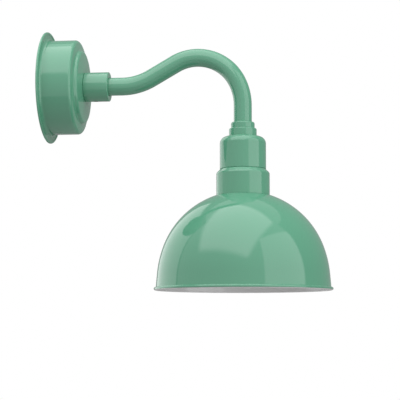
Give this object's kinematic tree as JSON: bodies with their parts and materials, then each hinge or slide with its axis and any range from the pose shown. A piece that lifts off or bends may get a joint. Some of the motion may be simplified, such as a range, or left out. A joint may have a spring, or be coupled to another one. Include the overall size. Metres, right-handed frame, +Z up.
{
  "type": "gooseneck wall sconce",
  "caption": "Wall light with a round stepped canopy, a gooseneck arm, a stepped neck and a half-dome shade with a rolled rim, white inside.",
  "frame": {"origin": "on the wall plane, on the hub's axis, at the centre of the two junction box screw slots", "axes": "+X out from the wall, +Z up, the shade hangs about a vertical axis at x = 0.2246 m"},
  "size_m": [0.3246, 0.2, 0.2976],
  "materials": {
    "green_enamel": "gloss enamel",
    "zinc_steel": "zinc plated",
    "brass": "plain",
    "porcelain": "glazed",
    "black_plastic": "matte",
    "terminal_plastic": "matte",
    "grey_foam": "foam",
    "silicone": "soft",
    "cable_jacket": "smooth",
    "black_wire": "wire insulation",
    "white_wire": "wire insulation",
    "green_wire": "wire insulation",
    "nickel": "nickel plated",
    "black_oxide": "black oxide",
    "lamp_white": "satin",
    "lamp_black": "gloss",
    "opal": "opal"
  },
  "bodies": {
    "wall_canopy": {"mounting_plate": "zinc_steel", "wall_gasket": "grey_foam", "canopy": "green_enamel", "canopy_nuts": "zinc_steel", "canopy_set_screws": "black_oxide", "terminal_block": "terminal_plastic", "terminal_screws": "brass", "block_screw": "zinc_steel", "ground_screw": "zinc_steel", "ground_terminal": "brass", "ground_lead": "green_wire", "line_lead": "black_wire", "neutral_lead": "white_wire", "backing_disc": "zinc_steel", "hub_washer": "zinc_steel", "hub_locknut": "zinc_steel", "hub": "green_enamel", "arm_set_screw": "black_oxide", "cable_bush": "black_plastic"},
    "arm": {"gooseneck_tube": "green_enamel", "arm_cable": "cable_jacket", "tube_collar": "green_enamel", "lock_ring": "green_enamel", "nipple": "zinc_steel", "nipple_nut": "zinc_steel"},
    "shade_head": {"cap_seal": "silicone", "socket_cap": "green_enamel", "holder_strap": "zinc_steel", "strap_screws": "zinc_steel", "lampholder_body": "porcelain", "screw_shell": "nickel", "centre_contact": "brass", "shade_neck": "green_enamel", "cap_screws": "zinc_steel", "shade": "green_enamel"},
    "lamp_washer": {"lamp_seal": "silicone"},
    "lamp": {"lamp_tip": "nickel", "lamp_insulator": "lamp_black", "lamp_cap": "nickel", "lamp_housing": "lamp_white", "lamp_globe": "opal"}
  },
  "joints": [
    {"name": "arm_swivel", "type": "hinge", "parent": "wall_canopy", "child": "arm", "pos_m": [0.056, 0, 0], "axis": [1, 0, 0], "range_deg": [-90, 90]},
    {"name": "shade_turn", "type": "hinge", "parent": "arm", "child": "shade_head", "pos_m": [0.2246, 0, -0.0606], "axis": [0, 0, 1], "range_deg": [-170, 170]},
    {"name": "lamp_drop", "type": "slide", "parent": "shade_head", "child": "lamp_washer", "axis": [0, 0, -1], "range_m": [0, 0.01825]},
    {"name": "lamp_unscrew", "type": "hinge", "parent": "lamp_washer", "child": "lamp", "pos_m": [0.2246, 0, -0.12], "axis": [0, 0, -1], "range_deg": [0, 1800]}
  ],
  "couplings": [
    {"joint": "lamp_drop", "follows": "lamp_unscrew", "m_per_rad": 0.00057757}
  ]
}
